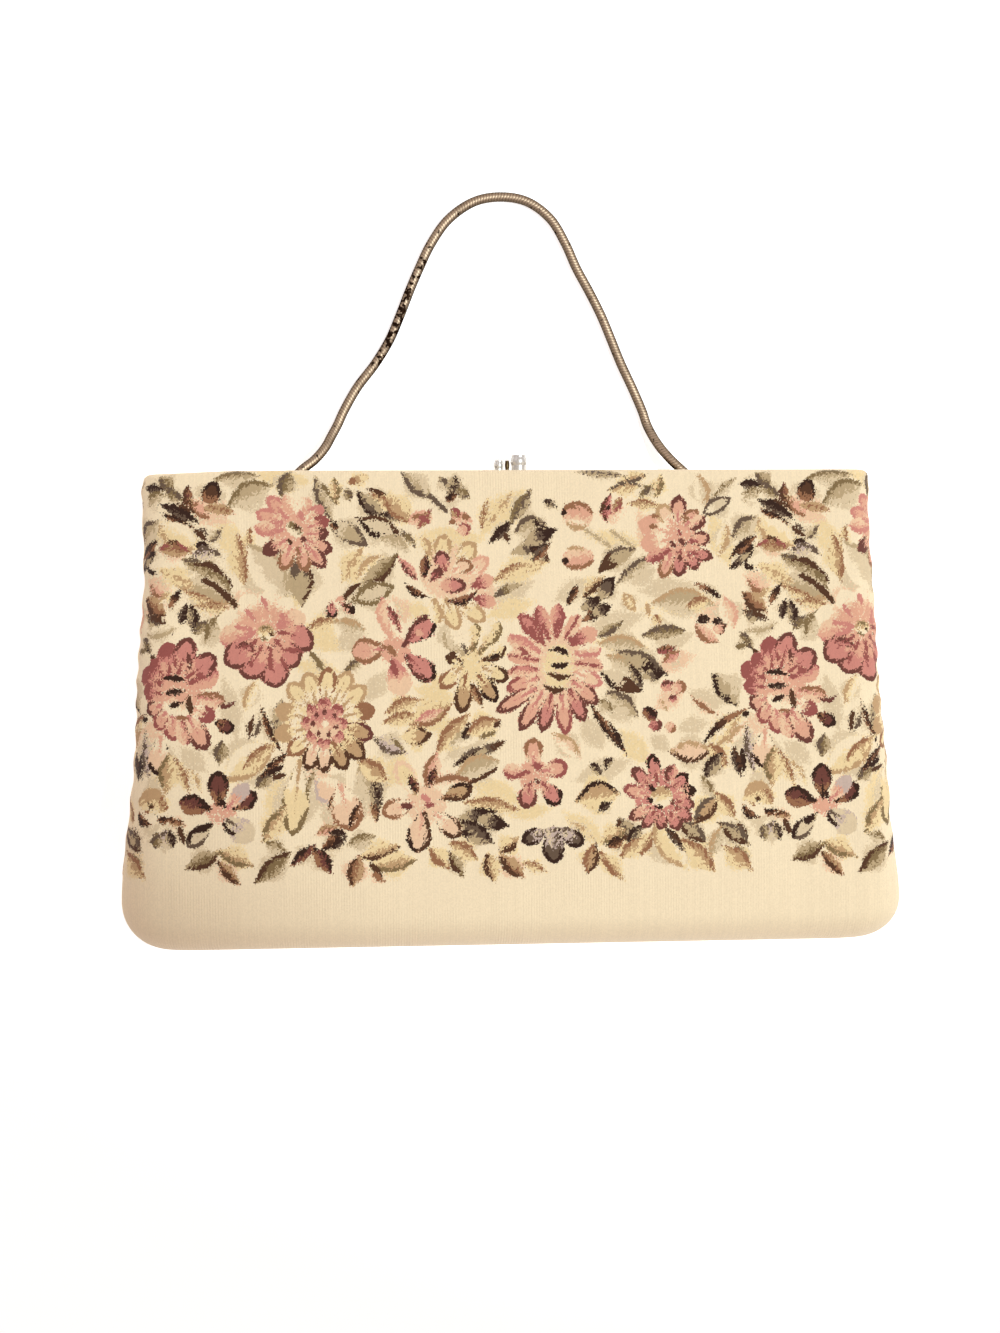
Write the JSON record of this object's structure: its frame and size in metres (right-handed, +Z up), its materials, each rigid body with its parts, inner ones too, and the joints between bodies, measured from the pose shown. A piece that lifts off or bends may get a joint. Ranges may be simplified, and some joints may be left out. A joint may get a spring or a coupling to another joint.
{
  "type": "tapestry evening clutch",
  "caption": "Slim floral tapestry evening clutch lying on its back, with a hemmed mouth on a hinged metal frame, a kiss clasp and a snake-chain handle.",
  "frame": {"origin": "on the table under the middle of the whole outline, from the base of the bag to the top of the handle", "axes": "+X across the bag to the right seen from the front, +Y from the base towards the mouth and handle, +Z up off the table, out of the front"},
  "size_m": [0.2336, 0.2289, 0.0346],
  "materials": {
    "tapestry": "cream cloth woven with a floral pattern in rose, plum, straw, olive and umber",
    "frame_brass": "satin brass",
    "pale_metal": "polished pale gilt",
    "aged_brass": "aged gilt with dark tarnish"
  },
  "bodies": {
    "root": {"front_panel": "tapestry", "back_panel": "tapestry", "frame_front": "frame_brass", "frame_back": "frame_brass", "hinge_pin_left": "frame_brass", "hinge_pin_right": "frame_brass", "clasp_knob_front": "pale_metal", "clasp_knob_back": "pale_metal", "handle_chain": "aged_brass", "handle_ferrule_left": "aged_brass", "handle_ferrule_right": "aged_brass"}
  },
  "joints": []
}
